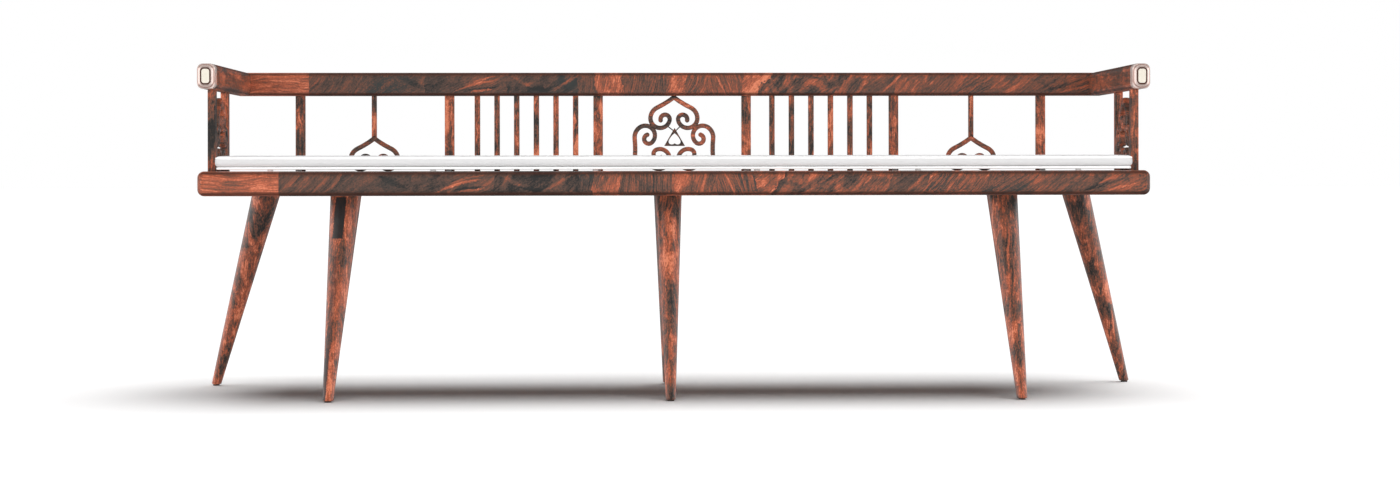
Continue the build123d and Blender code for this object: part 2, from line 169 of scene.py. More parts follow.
def swing(draft, ring, centre, axis, angle):
    """Extrudes an outline about an axis in one step and returns the new outline."""
    return bmesh.ops.spin(
        draft, geom=ring, cent=centre, axis=axis, angle=angle, steps=1, use_merge=False
    )["geom_last"]


# ---------------------------------------------------------------- node helpers
def set_sockets(tree, node, sockets):
    """Sets a node's sockets to plain values or links them to other nodes' outputs."""
    for name, value in sockets.items():
        if isinstance(value, bpy.types.NodeSocket):
            tree.links.new(value, node.inputs[name])
        else:
            node.inputs[name].default_value = value


def add_node(tree, kind, sockets=None, **settings):
    """A shader node with its settings and sockets filled in."""
    node = tree.nodes.new(kind)
    for name, value in settings.items():
        setattr(node, name, value)
    set_sockets(tree, node, sockets or {})
    return node


def compute(tree, operation, *values, clamp=False):
    """The output of a Math node."""
    sockets = dict(enumerate(values))
    return add_node(tree, "ShaderNodeMath", sockets, operation=operation, use_clamp=clamp).outputs[0]


def vector_math(tree, operation, vector, other):
    """The output of a Vector Math node; a number to scale by has a socket of its own."""
    second = "Scale" if operation == "SCALE" else 1
    sockets = {0: vector, second: other}
    return add_node(tree, "ShaderNodeVectorMath", sockets, operation=operation).outputs[0]


def split(tree, vector):
    """The X, Y and Z outputs of a vector."""
    return add_node(tree, "ShaderNodeSeparateXYZ", {0: vector}).outputs


def stretch(tree, vector, scale=(1, 1, 1), turn=(0, 0, 0)):
    """The output of a Mapping node, which scales a vector and then turns it."""
    sockets = {"Vector": vector, "Scale": scale, "Rotation": turn}
    return add_node(tree, "ShaderNodeMapping", sockets).outputs[0]


def noise(tree, vector, scale, detail=3.0, roughness=0.55, distortion=0.0):
    """The grey output of a Noise Texture node."""
    sockets = {
        "Vector": vector,
        "Scale": scale,
        "Detail": detail,
        "Roughness": roughness,
        "Distortion": distortion,
    }
    return add_node(tree, "ShaderNodeTexNoise", sockets).outputs[0]


def grain(tree, vector, along, across, detail, roughness=0.55, distortion=0.0):
    """Grey noise drawn out along X: its scales per metre along and across the grain."""
    drawn = stretch(tree, vector, (along, across, across))
    return noise(tree, drawn, 1.0, detail, roughness, distortion)


def shake(tree, vector, scale, detail, reach, middle):
    """A vector moved about by coloured noise, whose middle stands for no move."""
    sockets = {"Vector": vector, "Scale": scale, "Detail": detail}
    colour = add_node(tree, "ShaderNodeTexNoise", sockets).outputs["Color"]
    drift = vector_math(tree, "SUBTRACT", colour, (middle, middle, middle))
    return vector_math(tree, "ADD", vector, vector_math(tree, "SCALE", drift, reach))


def waver(tree, base, grey, reach):
    """A number moved to and fro by grey noise, by half its reach either way."""
    start = compute(tree, "SUBTRACT", base, reach / 2)
    return compute(tree, "MULTIPLY_ADD", grey, reach, start)


def ramp(tree, value, stops, interpolation="LINEAR"):
    """The colour output of a Color Ramp; each stop is a place and a grey or a colour."""
    node = add_node(tree, "ShaderNodeValToRGB", {"Fac": value})
    node.color_ramp.interpolation = interpolation
    elements = node.color_ramp.elements
    while len(elements) < len(stops):
        elements.new(0.5)
    for element, (place, colour) in zip(elements, stops):
        element.position = place
        element.color = (*colour, 1) if isinstance(colour, tuple) else (colour, colour, colour, 1)
    return node.outputs["Color"]


def soften(tree, value, low, high, to_low=0.0, to_high=1.0):
    """The output of a smooth Map Range node."""
    sockets = {0: value, 1: low, 2: high, 3: to_low, 4: to_high}
    return add_node(tree, "ShaderNodeMapRange", sockets, interpolation_type="SMOOTHSTEP").outputs[0]


def band(tree, value, start, full, fade, end, peak=1.0):
    """A mask that rises from start to full and falls again from fade to end."""
    rise = soften(tree, value, start, full, 0.0, peak)
    return compute(tree, "MULTIPLY", rise, soften(tree, value, end, fade))


def mix_colour(tree, share, first, second):
    """The colour output of a Mix node."""
    node = add_node(tree, "ShaderNodeMix", data_type="RGBA")
    colours = [(*value, 1) if isinstance(value, tuple) else value for value in (first, second)]
    set_sockets(tree, node, {0: share, 6: colours[0], 7: colours[1]})
    return node.outputs[2]


socket_kinds = {
    "vector": "NodeSocketVector",
    "number": "NodeSocketFloat",
    "colour": "NodeSocketColor",
}


def new_group(name, inputs, outputs):
    """An empty node group: its tree, its inputs' sockets by name, and its output node."""
    tree = bpy.data.node_groups.new(name, "ShaderNodeTree")
    for label, (kind, default) in inputs.items():
        socket = tree.interface.new_socket(
            label, in_out="INPUT", socket_type=socket_kinds[kind]
        )
        if default is not None:
            socket.default_value = default
    for label, kind in outputs.items():
        tree.interface.new_socket(label, in_out="OUTPUT", socket_type=socket_kinds[kind])
    entry = tree.nodes.new("NodeGroupInput")
    leave = tree.nodes.new("NodeGroupOutput")
    return tree, entry.outputs, leave


def place_group(tree, group, sockets):
    """Places a group in a tree and returns its outputs."""
    node = tree.nodes.new("ShaderNodeGroup")
    node.node_tree = group
    set_sockets(tree, node, sockets)
    return node.outputs


def new_material(name):
    """An empty material: itself, its tree, its Principled shader and its Object coordinates."""
    material = bpy.data.materials.new(name)
    material.use_nodes = True
    tree = material.node_tree
    shader = tree.nodes["Principled BSDF"]
    place = tree.nodes.new("ShaderNodeTexCoord").outputs["Object"]
    return material, tree, shader, place


def add_bump(tree, shader, height, distance, strength=0.5):
    """Feeds a height to a shader's normal."""
    sockets = {"Height": height, "Distance": distance, "Strength": strength}
    bump = add_node(tree, "ShaderNodeBump", sockets)
    tree.links.new(bump.outputs[0], shader.inputs["Normal"])


# ---------------------------------------------------------------- rosewood figure
rosewood_palette = (
    (0.00, (0.020, 0.019, 0.018)),
    (0.22, (0.074, 0.046, 0.036)),
    (0.42, (0.145, 0.062, 0.040)),
    (0.60, (0.275, 0.077, 0.040)),
    (0.80, (0.445, 0.108, 0.052)),
    (1.00, (0.680, 0.215, 0.112)),
)
cold_wood = (0.034, 0.038, 0.036)
black_wood = (0.020, 0.019, 0.019)
# the dark brown of the painted shade on rounded edges
painted_edge_shade_colour = (0.046, 0.014, 0.008)


def make_figure_group():
    """Rosewood: dark and salmon heartwood with fine lines, flames and clouds along an angle."""
    tree, given, leave = new_group(
        "rosewood figure",
        {
            "Vector": ("vector", None),
            "Tone": ("number", 0.4),
            "Angle": ("number", 0.0),
            "Lines": ("number", 0.3),
            "Flames": ("number", 0.3),
            "Clouds": ("number", 0.3),
            "Size": ("number", 1.0),
            "Cold": ("number", 1.0),
            "Specks": ("number", 0.08),
        },
        {"Color": "colour", "Roughness": "number", "Height": "number"},
    )
    along = add_node(
        tree,
        "ShaderNodeVectorRotate",
        {"Vector": given["Vector"], "Angle": given["Angle"]},
        rotation_type="Y_AXIS",
    ).outputs[0]
    along = vector_math(tree, "SCALE", along, given["Size"])
    wavy = shake(tree, along, 8.0, 2.0, reach=0.03, middle=0.5)
    lines = grain(tree, wavy, 9, 260, detail=4.0, roughness=0.75)
    lines = soften(tree, lines, 0.34, 0.66, -1.0, 1.0)
    broad = grain(tree, wavy, 7, 74, detail=3.0, distortion=0.5)
    flames = soften(tree, broad, 0.54, 0.66)
    hollows = soften(tree, broad, 0.46, 0.34)
    clouds = noise(tree, stretch(tree, wavy, (0.6, 1, 1)), 26.0, 6.0, 0.62, 0.8)
    clouds = soften(tree, clouds, 0.34, 0.66, -1.0, 1.0)
    strokes = grain(tree, wavy, 12, 340, detail=2.0, roughness=0.6, distortion=0.2)
    strokes = soften(tree, strokes, 0.60, 0.68)
    pores = soften(tree, grain(tree, wavy, 90, 900, detail=1.0), 0.62, 0.72)
    specks = noise(tree, stretch(tree, along, (0.6, 1, 1)), 380.0, 2.0)
    specks = soften(tree, specks, 0.36, 0.64, -1.0, 1.0)
    cells = add_node(
        tree,
        "ShaderNodeTexVoronoi",
        {"Vector": stretch(tree, wavy, (70, 130, 130)), "Scale": 1.0, "Randomness": 1.0},
        feature="DISTANCE_TO_EDGE",
    ).outputs["Distance"]
    cracks = soften(tree, cells, 0.02, 0.13, 1.0, 0.0)

    heat = given["Tone"]
    for name, pattern in (("Lines", lines), ("Flames", flames), ("Clouds", clouds)):
        heat = compute(tree, "MULTIPLY_ADD", pattern, given[name], heat)
    for name, pattern, share in (
        ("Flames", hollows, -0.35),
        ("Flames", strokes, 0.95),
        ("Clouds", cracks, -0.45),
    ):
        part = compute(tree, "MULTIPLY", pattern, given[name])
        heat = compute(tree, "MULTIPLY_ADD", part, share, heat)
    heat = compute(tree, "MULTIPLY_ADD", specks, given["Specks"], heat)
    heat = compute(tree, "MULTIPLY_ADD", pores, -0.12, heat, clamp=True)
    cold = soften(tree, noise(tree, wavy, 6.5, 2.0), 0.52, 0.68)
    cold = compute(tree, "MULTIPLY", cold, soften(tree, heat, 0.45, 0.15))
    cold = compute(tree, "MULTIPLY", cold, given["Cold"])
    found = {
        "Color": mix_colour(tree, cold, ramp(tree, heat, rosewood_palette), cold_wood),
        "Roughness": compute(tree, "MULTIPLY_ADD", lines, 0.05, 0.42),
        "Height": compute(tree, "MULTIPLY_ADD", pores, -0.6, lines),
    }
    set_sockets(tree, leave, found)
    return tree


figure = make_figure_group()


def finish_wood(tree, shader, colour, roughness, height, coat):
    """Feeds a polished wood's shader."""
    sockets = {
        "Base Color": colour,
        "Roughness": roughness,
        "Coat Weight": coat,
        "Coat Roughness": 0.16,
        "Specular IOR Level": 0.28,
    }
    set_sockets(tree, shader, sockets)
    add_bump(tree, shader, height, 0.12 * millimetre)


def edge_shade(tree, place, low, high, radius, run=0):
    """A mask for painted shade: 1 on a board's rounded long edges and half that at its corners."""
    middle = [(a + b) / 2 for a, b in zip(low, high)]
    half = [(b - a) / 2 for a, b in zip(low, high)]
    parts = split(tree, vector_math(tree, "SUBTRACT", place, middle))
    nears = []
    for axis in range(3):
        reach = compute(tree, "ABSOLUTE", parts[axis])
        nears.append(soften(tree, reach, half[axis] - radius * 0.75, half[axis] - radius * 0.30))
    end = nears.pop(run)
    long_edge = compute(tree, "MULTIPLY", *nears)
    corner = compute(tree, "MULTIPLY", end, compute(tree, "MAXIMUM", *nears))
    return compute(tree, "MAXIMUM", long_edge, compute(tree, "MULTIPLY", corner, 0.5))


def paint_edge_shade(tree, shade, colour, roughness):
    """A wood's colour with painted shade, and its roughness duller, where the edge mask is."""
    share = compute(tree, "MULTIPLY", shade, 0.85)
    dull = compute(tree, "MULTIPLY_ADD", shade, 0.25, roughness)
    return mix_colour(tree, share, colour, painted_edge_shade_colour), dull


# ---------------------------------------------------------------- long boards
# zones of the long boards, from the left end: where each starts, its tone, the slope of its
# grain in degrees, and how strong its lines, flames and clouds are
zone_columns = ("start", "tone", "slope", "lines", "flames", "clouds")
board_zones = (
    (-1.000, 0.67, 2, 0.22, 0.10, 0.06),
    (-0.830, 0.30, 50, 0.12, 0.14, 0.08),
    (-0.700, 0.27, 35, 0.06, 0.07, 0.10),
    (-0.560, 0.23, 28, 0.06, 0.08, 0.12),
    (-0.480, 0.27, 26, 0.08, 0.20, 0.10),
    (-0.385, 0.19, 40, 0.06, 0.12, 0.16),
    (-0.300, 0.18, 42, 0.08, 0.14, 0.16),
    (-0.215, 0.26, 82, 0.16, 0.16, 0.10),
    (-0.175, 0.60, 70, 0.18, 0.20, 0.20),
    (-0.120, 0.34, 84, 0.24, 0.12, 0.05),
    (-0.016, 0.61, 62, 0.14, 0.18, 0.22),
    (0.030, 0.47, 70, 0.18, 0.18, 0.12),
    (0.088, 0.42, -72, 0.18, 0.22, 0.06),
    (0.157, 0.66, 40, 0.14, 0.18, 0.24),
    (0.208, 0.39, 50, 0.10, 0.20, 0.28),
    (0.258, 0.35, 42, 0.18, 0.22, 0.26),
    (0.384, 0.50, 48, 0.20, 0.26, 0.18),
    (0.440, 0.34, 42, 0.12, 0.16, 0.12),
    (0.521, 0.41, 50, 0.22, 0.22, 0.06),
    (0.658, 0.39, 36, 0.18, 0.20, 0.08),
    (0.780, 0.36, 36, 0.16, 0.18, 0.12),
    (0.890, 0.40, 27, 0.16, 0.18, 0.10),
)
board_reach = 1.05  # the zones' ramps run from minus to plus this X
straight_seam = -0.80  # left of this X the zones meet in a straight line
lean_start, lean_end = 0.14, 0.26  # between these X the zones' edges come to lean
lean_slope = -0.75
zone_wander = 0.07  # how far the zones' edges stray, broadly and in fine teeth
zone_fringe = 0.010
# single sweeps of red or dark heartwood on the long boards: start in X and in height from the
# board's middle, slope, bend, length along X, width, and how much hotter the wood is there
board_marks = (
    (-0.516, -0.027, 0.58, -2.4, 0.120, 0.0050, 0.42),
    (-0.486, -0.006, 0.42, -1.6, 0.100, 0.0030, 0.30),
    (-0.470, -0.021, 0.25, -1.5, 0.070, 0.0040, 0.34),
    (-0.474, -0.014, 0.10, 0.0, 0.085, 0.0040, -0.30),
    (-0.640, 0.024, -0.45, 0.0, 0.090, 0.0100, -0.16),
    (-0.372, 0.022, -0.70, 3.0, 0.060, 0.0080, 0.20),
    (-0.345, -0.004, -0.20, 0.0, 0.080, 0.0075, -0.16),
    (-0.296, -0.026, 0.56, 0.0, 0.095, 0.0060, 0.26),
    (0.095, 0.030, -1.9, 0.0, 0.034, 0.0075, 0.34),
    (0.116, 0.030, -2.2, 0.0, 0.028, 0.0045, 0.26),
    (0.215, 0.004, -0.2, 0.0, 0.045, 0.0090, -0.16),
    (0.470, -0.030, 0.9, 0.0, 0.070, 0.0060, 0.30),
    (0.845, -0.020, 0.30, 0.0, 0.110, 0.0055, -0.26),
    (0.865, -0.026, 0.24, 0.0, 0.120, 0.0040, 0.24),
)
mark_fringe = 0.008
board_coat = 0.65


def zone_ramp(tree, place, column, low=0, high=1):
    """A number that follows one column of the zones along the board."""
    index = zone_columns.index(column)
    stops = [
        ((zone[0] + board_reach) / (2 * board_reach), (zone[index] - low) / (high - low))
        for zone in board_zones
    ]
    share = ramp(tree, place, stops, "CONSTANT")
    share = add_node(tree, "ShaderNodeSeparateColor", {0: share}).outputs[0]
    return compute(tree, "MULTIPLY_ADD", share, high - low, low)


def sweep_mask(tree, place, height, start, low, slope, bend, length, width):
    """A mask that is 1 on one curved sweep that thins to both ends."""
    run = compute(tree, "SUBTRACT", place, start)
    line = compute(tree, "MULTIPLY_ADD", run, bend, slope)
    line = compute(tree, "MULTIPLY_ADD", line, run, low)
    off = compute(tree, "ABSOLUTE", compute(tree, "SUBTRACT", height, line))
    centred = compute(tree, "MULTIPLY_ADD", run, 2 / length, -1)
    body = compute(tree, "MULTIPLY", centred, centred)
    body = compute(tree, "MULTIPLY_ADD", body, -width, width)
    return soften(tree, compute(tree, "SUBTRACT", body, off), 0, width * 0.7)


def make_board_material(name, low, high, radius, painted_light_scale):
    """A long board's rosewood, in zones along X, with painted shade and a duller finish on its rounded
    edges.
    """
    material, tree, shader, place = new_material(name)
    centre = (0, (low[1] + high[1]) / 2, (low[2] + high[2]) / 2)
    parts = split(tree, vector_math(tree, "SUBTRACT", place, centre))
    across = compute(tree, "SUBTRACT", parts[2], parts[1])
    flat = add_node(tree, "ShaderNodeCombineXYZ", {0: parts[0], 1: parts[1], 2: across}).outputs[0]
    wander = waver(tree, 0.0, noise(tree, flat, 17.0, 3.0), zone_wander)
    fringe = noise(tree, stretch(tree, flat, (1, 1, 0.5)), 170.0, 2.0)
    wander = waver(tree, wander, fringe, zone_fringe)
    ragged = compute(tree, "GREATER_THAN", parts[0], straight_seam)
    wander = compute(tree, "MULTIPLY", wander, ragged)
    lean = soften(tree, parts[0], lean_start, lean_end, 0.0, lean_slope)
    along = compute(tree, "MULTIPLY_ADD", lean, parts[2], parts[0])
    along = compute(tree, "ADD", along, wander)
    along = compute(tree, "MULTIPLY_ADD", along, 0.5 / board_reach, 0.5, clamp=True)
    slope = zone_ramp(tree, along, "slope", -90, 90)
    # painted light: the board's tone is scaled, lighter on a board that gets less light
    tone = compute(tree, "MULTIPLY", zone_ramp(tree, along, "tone"), painted_light_scale)
    height = waver(tree, parts[2], noise(tree, flat, 140.0, 2.0), mark_fringe)
    for *shape, heat in board_marks:
        sweep = sweep_mask(tree, parts[0], height, *shape)
        tone = compute(tree, "MULTIPLY_ADD", sweep, heat, tone)
    sockets = {
        "Vector": flat,
        "Angle": compute(tree, "MULTIPLY", slope, pi / 180),
        "Tone": tone,
        "Lines": zone_ramp(tree, along, "lines"),
        "Flames": zone_ramp(tree, along, "flames"),
        "Clouds": zone_ramp(tree, along, "clouds"),
    }
    wood = place_group(tree, figure, sockets)
    # painted shade on the rounded edges, where the finish is also duller and the coat thinner
    shade = edge_shade(tree, place, low, high, radius)
    colour, roughness = paint_edge_shade(tree, shade, wood["Color"], wood["Roughness"])
    coat = compute(tree, "MULTIPLY_ADD", shade, -board_coat, board_coat)
    finish_wood(tree, shader, colour, roughness, wood["Height"], coat)
    return material


# the deck is painted a little darker and the back rail lighter, because the back rail gets less light
# than the deck
deck_board_wood = make_board_material(
    "rosewood deck rails", deck_low, deck_high, deck_rounding, painted_light_scale=0.97
)
back_board_wood = make_board_material(
    "rosewood back rail", rail_low, rail_high, rail_rounding, painted_light_scale=1.09
)

# ---------------------------------------------------------------- smaller pieces of rosewood
# turns that lay the grain, which runs along X, along another axis
along_x = (0, 0, 0)
along_y = (0, 0, pi / 2)
along_z = (0, pi / 2, 0)
# a black patch and two dark streaks under it on one leg: middle, half width, lean, both ends
# and strength
leg_blots = (
    (-0.7432, 0.0125, 0.074, 0.342, 0.432, 0.97),
    (-0.7420, 0.0065, 0.074, 0.110, 0.306, 0.55),
    (-0.7425, 0.0050, 0.074, 0.004, 0.114, 0.90),
)
blot_fade = 2 * millimetre


def make_stick_material(
    name, turn, tone, lines, flames, clouds, size=1.0, coat=0.7, blots=(), edges=None
):
    """Rosewood in irregular patches, its grain turned to run along the piece; given edges, painted
    shade on its rounded edges.
    """
    material, tree, shader, place = new_material(name)
    turned = stretch(tree, place, turn=turn)
    ragged = shake(tree, turned, 110.0, 3.0, reach=0.008, middle=0.0)
    patches = add_node(
        tree,
        "ShaderNodeTexVoronoi",
        {"Vector": stretch(tree, ragged, (13, 40, 40)), "Scale": 1.0, "Randomness": 1.0},
    ).outputs["Color"]
    patch = add_node(tree, "ShaderNodeSeparateColor", {0: patches}).outputs[0]
    drift = soften(tree, noise(tree, turned, 11.0, 3.0), 0.35, 0.65, -1, 1)
    level = compute(tree, "MULTIPLY_ADD", patch, 0.36, tone - 0.18)
    level = compute(tree, "MULTIPLY_ADD", drift, 0.12, level)
    sockets = {
        "Vector": turned,
        "Tone": level,
        "Lines": lines,
        "Flames": flames,
        "Clouds": clouds,
        "Size": size,
        "Cold": 0.35,
        "Specks": 0.12,
    }
    wood = place_group(tree, figure, sockets)
    colour, roughness = wood["Color"], wood["Roughness"]
    parts = split(tree, place)
    for middle, half, lean, low, high, depth in blots:
        fringe = compute(tree, "MULTIPLY_ADD", noise(tree, place, 240.0, 2.0), 0.006, -0.003)
        across = compute(tree, "MULTIPLY_ADD", parts[2], -lean, parts[0])
        across = compute(tree, "SUBTRACT", compute(tree, "ADD", across, fringe), middle)
        mask = soften(tree, compute(tree, "ABSOLUTE", across), half, half * 0.85)
        for edge, inside in ((low, low + blot_fade), (high, high - blot_fade)):
            mask = compute(tree, "MULTIPLY", mask, soften(tree, parts[2], edge, inside))
        mask = compute(tree, "MULTIPLY", mask, depth)
        colour = mix_colour(tree, mask, colour, black_wood)
    # painted shade, and a duller finish, on the rounded edges
    if edges:
        shade = edge_shade(tree, place, *edges, run=1)
        colour, roughness = paint_edge_shade(tree, shade, colour, roughness)
    finish_wood(tree, shader, colour, roughness, wood["Height"], coat)
    return material


upright_wood = make_stick_material(
    "rosewood sticks",
    along_z,
    tone=0.55,
    lines=0.24,
    flames=0.32,
    clouds=0.26,
    size=1.3,
    coat=0.5,
)
dark_post_wood = make_stick_material(
    "rosewood dark post",
    along_z,
    tone=0.27,
    lines=0.20,
    flames=0.12,
    clouds=0.26,
    size=1.3,
    coat=0.4,
)
leg_wood = make_stick_material(
    "rosewood legs",
    along_z,
    tone=0.52,
    lines=0.20,
    flames=0.30,
    clouds=0.22,
    size=0.9,
    coat=0.75,
)
marked_leg_wood = make_stick_material(
    "rosewood marked leg",
    along_z,
    tone=0.60,
    lines=0.18,
    flames=0.26,
    clouds=0.20,
    size=0.9,
    coat=0.75,
    blots=leg_blots,
)
arm_woods = {
    side: make_stick_material(
        f"rosewood {side} arm",
        along_y,
        tone=0.49,
        lines=0.20,
        flames=0.20,
        clouds=0.16,
        coat=0.4,
        edges=(*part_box(f"{side}_arm"), rail_rounding),
    )
    for side in ("left", "right")
}
end_wood = make_stick_material(
    "rosewood deck ends",
    along_y,
    tone=0.50,
    lines=0.16,
    flames=0.24,
    clouds=0.16,
    edges=(deck_low, deck_high, deck_rounding),
)
fret_wood = make_stick_material(
    "rosewood fretwork", along_x, tone=0.40, lines=0.14, flames=0.22, clouds=0.22, size=1.6
)
plate_wood = make_stick_material(
    "rosewood small plate",
    along_x,
    tone=0.20,
    lines=0.12,
    flames=0.12,
    clouds=0.20,
    size=1.6,
    coat=0.3,
)


# ---------------------------------------------------------------- hidden wood, metal, cloth, plastic
def make_plain_wood_material(name, pale, dark, turn):
    """A plain secondary wood with straight fine grain."""
    material, tree, shader, place = new_material(name)
    turned = stretch(tree, place, turn=turn)
    lines = grain(tree, turned, 6, 140, detail=4.0, roughness=0.6)
    broad = grain(tree, turned, 2, 18, detail=3.0, roughness=0.5, distortion=0.8)
    share = compute(tree, "MULTIPLY", soften(tree, broad, 0.35, 0.65), 0.5)
    share = compute(tree, "MULTIPLY_ADD", soften(tree, lines, 0.35, 0.65), 0.5, share)
    sockets = {
        "Base Color": mix_colour(tree, share, pale, dark),
        "Roughness": compute(tree, "MULTIPLY_ADD", lines, 0.2, 0.45),
    }
    set_sockets(tree, shader, sockets)
    add_bump(tree, shader, lines, 0.2 * millimetre, 0.6)
    return material


stained_beech = ((0.20, 0.085, 0.045), (0.11, 0.042, 0.024))
carcass_wood = make_plain_wood_material("stained beech carcass", *stained_beech, along_x)
bearer_wood = make_plain_wood_material("stained beech bearers", *stained_beech, along_y)
dowel_wood = make_plain_wood_material(
    "beech dowels", (0.52, 0.34, 0.19), (0.40, 0.24, 0.12), along_z
)


def polish_metal(tree, shader, place, colour, metallic, roughness):
    """Feeds a softly polished metal's shader, with fine scuffs in its roughness."""
    scuffs = noise(tree, stretch(tree, place, (300, 40, 900)), 1.0, 2.0)
    sockets = {
        "Base Color": colour,
        "Metallic": metallic,
        "Roughness": compute(tree, "MULTIPLY_ADD", scuffs, 0.08, roughness),
    }
    set_sockets(tree, shader, sockets)


def tarnish(tree, place, colour, dark):
    """A metal's colour with a little tarnish in clouds."""
    share = soften(tree, noise(tree, place, 60.0, 3.0), 0.35, 0.75, 0.0, 0.35)
    return mix_colour(tree, share, colour, dark)


def make_metal_material(name, colour, dark, roughness):
    """Softly polished metal with fine wear and a little tarnish."""
    material, tree, shader, place = new_material(name)
    colour = tarnish(tree, place, colour, dark)
    polish_metal(tree, shader, place, colour, 1.0, roughness)
    return material


dark_steel = make_metal_material("dark pin steel", (0.10, 0.07, 0.06), (0.05, 0.04, 0.035), 0.35)
screw_steel = make_metal_material("brushed steel", (0.62, 0.62, 0.62), (0.42, 0.42, 0.42), 0.32)

# the cream panel on a cap's front is a painted bright reflection, and the dark line and the darker rim
# around it are painted dark reflections; all are given by their distance from the centres of its
# rounded corners
panel_half_width = 7.8 * millimetre
panel_half_height = 14.5 * millimetre
panel_corner = 5 * millimetre
panel_blur = 0.6 * millimetre
line_fade, line_end = 8 * millimetre, 9 * millimetre
rim_reflection_band = (12.2 * millimetre, 13.8 * millimetre, 15.0 * millimetre, 16.2 * millimetre)
painted_cream_reflection = (1.0, 0.93, 0.80)
painted_dark_reflection = (0.10, 0.045, 0.032)


def make_cap_material(name, node_name):
    """Polished rose metal with painted reflections: a cream panel inside a dark line on the cap's
    front, and a darker rim.
    """
    material, tree, shader, place = new_material(name)
    low, high = (Vector(corner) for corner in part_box(node_name))
    middle = (low + high) / 2
    parts = split(tree, place)
    wide, tall = (
        compute(tree, "ABSOLUTE", compute(tree, "SUBTRACT", parts[axis], middle[axis]))
        for axis in (0, 2)
    )
    squares = []
    for reach, half in ((wide, panel_half_width), (tall, panel_half_height)):
        past = compute(tree, "SUBTRACT", reach, half - panel_corner)
        past = compute(tree, "MAXIMUM", past, 0)
        squares.append(compute(tree, "MULTIPLY", past, past))
    away = compute(tree, "SQRT", compute(tree, "ADD", *squares))
    outside = (away, panel_corner, panel_corner + panel_blur)
    panel = soften(tree, *outside, 1.0, 0.0)
    line = band(tree, *outside, line_fade, line_end)
    # more of the painted dark reflection, above and below the panel's middle
    painted_light = compute(
        tree, "MULTIPLY", soften(tree, tall, 0.0250, 0.0150), soften(tree, wide, 0.0120, 0.0050)
    )
    painted_light = compute(tree, "MULTIPLY", painted_light, soften(tree, *outside, 0.0, 0.75))
    line = compute(tree, "MAXIMUM", line, painted_light)
    # a painted darker reflection round the cap's outline
    rim = band(tree, away, *rim_reflection_band, peak=0.8)
    rose = tarnish(tree, place, (0.93, 0.76, 0.70), (0.78, 0.57, 0.50))
    rose = mix_colour(tree, rim, rose, (0.42, 0.24, 0.20))
    colour = mix_colour(tree, panel, rose, painted_cream_reflection)
    colour = mix_colour(tree, line, colour, painted_dark_reflection)
    polish_metal(tree, shader, place, colour, 0.45, 0.10)
    return material


def make_weave_group():
    """A plain weave: two sets of threads over and under each other."""
    tree, given, leave = new_group(
        "plain weave",
        {"Vector": ("vector", None), "Thread": ("number", 0.9 * millimetre)},
        {"Height": "number", "Slub": "number"},
    )
    pitch = compute(tree, "DIVIDE", 2 * pi, given["Thread"])
    parts = split(tree, given["Vector"])
    side = compute(tree, "ADD", parts[1], parts[2])
    warp = compute(tree, "SINE", compute(tree, "MULTIPLY", parts[0], pitch))
    weft = compute(tree, "SINE", compute(tree, "MULTIPLY", side, pitch))
    found = {
        "Height": compute(tree, "MULTIPLY", warp, weft),
        "Slub": grain(tree, given["Vector"], 60, 900, detail=2.0),
    }
    set_sockets(tree, leave, found)
    return tree


weave = make_weave_group()
# the grey of the painted shade in the pad's lower fold
painted_fold_shade = (0.36, 0.36, 0.365)


def make_cloth_material(name, pale, shaded, painted_light=0.0, fold=None):
    """Plain white cloth; it can have a painted glow that gives a little light, and painted shade that
    makes it greyer at one height, in a fold.
    """
    material, tree, shader, place = new_material(name)
    outputs = place_group(tree, weave, {"Vector": place})
    clouds = noise(tree, place, 5.0, 3.0)
    share = compute(tree, "MULTIPLY", soften(tree, outputs["Slub"], 0.4, 0.7), 0.4)
    share = compute(tree, "MULTIPLY_ADD", soften(tree, clouds, 0.3, 0.7), 0.3, share)
    colour = mix_colour(tree, share, pale, shaded)
    # painted shade in the fold: the cloth is greyer from 4.5 mm above the fold's height downwards
    if fold:
        height = split(tree, place)[2]
        shade = soften(tree, height, fold + 0.0045, fold + 0.0010, 0.0, 0.8)
        colour = mix_colour(tree, shade, colour, painted_fold_shade)
    sockets = {
        "Base Color": colour,
        "Roughness": compute(tree, "MULTIPLY_ADD", outputs["Slub"], 0.1, 0.8),
        # the emission is a painted glow that lifts the cloth out of its shade
        "Emission Color": (1, 1, 1, 1),
        "Emission Strength": painted_light,
        "Sheen Weight": 0.1,
        "Sheen Roughness": 0.4,
        "Specular IOR Level": 0.25,
    }
    set_sockets(tree, shader, sockets)
    add_bump(tree, shader, outputs["Height"], 0.12 * millimetre)
    return material


cover_cloth = make_cloth_material(
    "white cotton cover",
    (0.665, 0.66, 0.662),
    (0.625, 0.62, 0.622),
    fold=mattress_low.z + pad_lift,
)
# the welt and the felt pads have a painted glow that lifts them out of the shade under the pad
welt_cloth = make_cloth_material(
    "white welt", (1.0, 0.995, 0.99), (0.96, 0.955, 0.95), painted_light=0.16
)
felt_cloth = make_cloth_material("pale felt", (0.86, 0.85, 0.84), (0.72, 0.71, 0.70), painted_light=0.10)


def make_glide_material(name):
    """Dark moulded plastic with a fine texture and scuffs."""
    material, tree, shader, place = new_material(name)
    scuffs = noise(tree, place, 140.0, 3.0)
    worn = soften(tree, scuffs, 0.4, 0.7)
    sockets = {
        "Base Color": mix_colour(tree, worn, (0.035, 0.025, 0.022), (0.07, 0.055, 0.05)),
        "Roughness": compute(tree, "MULTIPLY_ADD", scuffs, 0.2, 0.45),
    }
    set_sockets(tree, shader, sockets)
    add_bump(tree, shader, noise(tree, place, 900.0, 2.0), 0.1 * millimetre)
    return material


